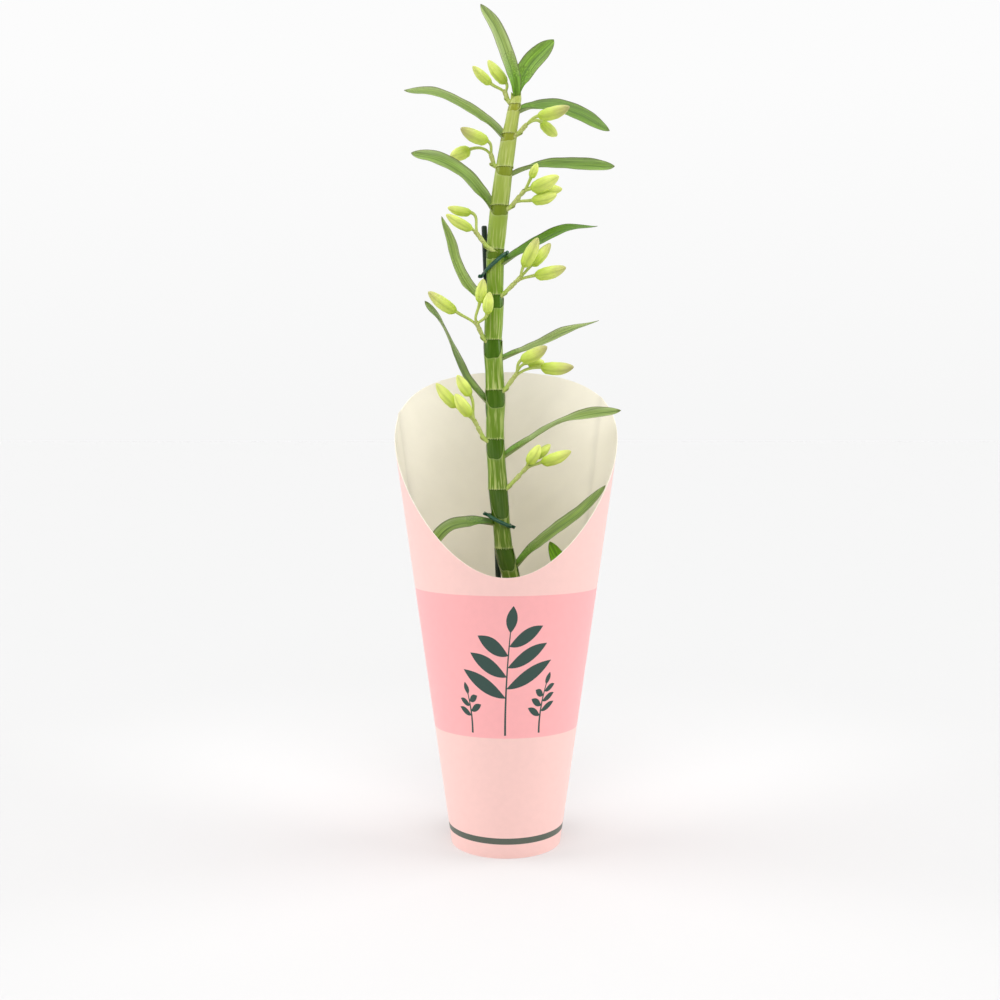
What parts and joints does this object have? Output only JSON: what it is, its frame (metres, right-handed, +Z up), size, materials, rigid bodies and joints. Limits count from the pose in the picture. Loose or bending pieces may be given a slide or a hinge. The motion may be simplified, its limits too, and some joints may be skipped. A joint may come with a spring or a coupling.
{
  "type": "dendrobium orchid in bud in a grower's pot and card sleeve",
  "caption": "Noble dendrobium orchid in bud: a leafy jointed cane tied to a stake, in a grower's pot standing inside a slant-cut conical card sleeve.",
  "frame": {"origin": "on the surface that the plant stands on, on the axis of the card sleeve and at the centre of the pot's underside", "axes": "+Z up along the sleeve's axis; the sleeve's low front faces -Y and its high back +Y; +X to the right seen from the front"},
  "size_m": [0.1835, 0.1746, 0.6698],
  "materials": {
    "card": "satin coated carton board, pink outside, cream inside",
    "pot_plastic": "thin black polypropylene",
    "bark": "rough fir bark chips with a little moss",
    "root": "spongy pale root skin",
    "cane": "waxy green stem with pale striped sheaths",
    "stake": "dark green plastic coat",
    "tie_wire": "dark green plastic coated wire",
    "leaf": "waxy green leaf",
    "flower_stalk": "smooth pale green stalk",
    "bud": "waxy yellow-green bud"
  },
  "bodies": {
    "root": {"bark_mix": "bark", "bud_a1": "bud", "bud_a2": "bud", "bud_b1": "bud", "bud_b2": "bud", "bud_c1": "bud", "bud_c2": "bud", "bud_d1": "bud", "bud_d2": "bud", "bud_d3": "bud", "bud_d4": "bud", "bud_e1": "bud", "bud_e2": "bud", "bud_f1": "bud", "bud_f2": "bud", "bud_f3": "bud", "bud_g1": "bud", "bud_g2": "bud", "bud_g3": "bud", "bud_h1": "bud", "bud_h2": "bud", "bud_h3": "bud", "bud_i1": "bud", "bud_i2": "bud", "bud_i3": "bud", "bud_j1": "bud", "bud_j2": "bud", "bud_j3": "bud", "cane": "cane", "flower_stalk_a": "flower_stalk", "flower_stalk_b": "flower_stalk", "flower_stalk_c": "flower_stalk", "flower_stalk_d": "flower_stalk", "flower_stalk_e": "flower_stalk", "flower_stalk_f": "flower_stalk", "flower_stalk_g": "flower_stalk", "flower_stalk_h": "flower_stalk", "flower_stalk_i": "flower_stalk", "flower_stalk_j": "flower_stalk", "leaf_01": "leaf", "leaf_02": "leaf", "leaf_03": "leaf", "leaf_04": "leaf", "leaf_05": "leaf", "leaf_06": "leaf", "leaf_07": "leaf", "leaf_08": "leaf", "leaf_09": "leaf", "leaf_10": "leaf", "leaf_11": "leaf", "leaf_12": "leaf", "leaf_13": "leaf", "leaf_14": "leaf", "pot": "pot_plastic", "roots": "root", "sleeve": "card", "stake": "stake", "tie_lower": "tie_wire", "tie_upper": "tie_wire"}
  },
  "joints": []
}
